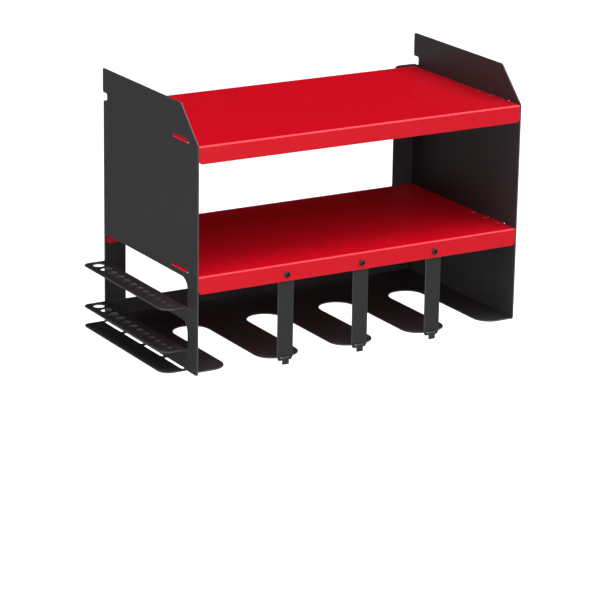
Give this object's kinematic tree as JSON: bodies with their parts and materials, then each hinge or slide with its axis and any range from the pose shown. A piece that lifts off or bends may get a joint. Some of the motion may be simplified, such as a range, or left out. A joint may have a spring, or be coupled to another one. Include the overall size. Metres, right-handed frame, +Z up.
{
  "type": "wall mounted power tool organizer",
  "caption": "Open two-shelf steel wall rack whose slotted base plate hangs power tools by the neck, with flaps folded out of its left side panel as a screwdriver rack.",
  "frame": {"origin": "on the wall plane, midway between the side panels, level with the left side panel's lower edge", "axes": "+X is right as seen from the room, +Y points into the wall, +Z is up"},
  "size_m": [0.4485, 0.2285, 0.3035],
  "materials": {
    "charcoal_coat": "charcoal powder coat, satin with a fine grain",
    "red_coat": "bright red powder coat, satin",
    "black_steel": "black oxide on steel, slightly oily"
  },
  "bodies": {
    "root": {"left_side_panel": "charcoal_coat", "right_side_panel": "charcoal_coat", "top_shelf": "red_coat", "middle_shelf": "red_coat", "tool_base_plate": "charcoal_coat", "hanger_strip_1": "charcoal_coat", "hanger_screw_1": "black_steel", "hanger_nut_1": "black_steel", "hanger_strip_2": "charcoal_coat", "hanger_screw_2": "black_steel", "hanger_nut_2": "black_steel", "hanger_strip_3": "charcoal_coat", "hanger_screw_3": "black_steel", "hanger_nut_3": "black_steel", "top_shelf_joint_screw_left": "black_steel", "top_shelf_joint_screw_right": "black_steel", "middle_shelf_joint_screw_left": "black_steel", "middle_shelf_joint_screw_right": "black_steel", "base_plate_joint_screw_left": "black_steel", "base_plate_joint_screw_right": "black_steel"}
  },
  "joints": []
}
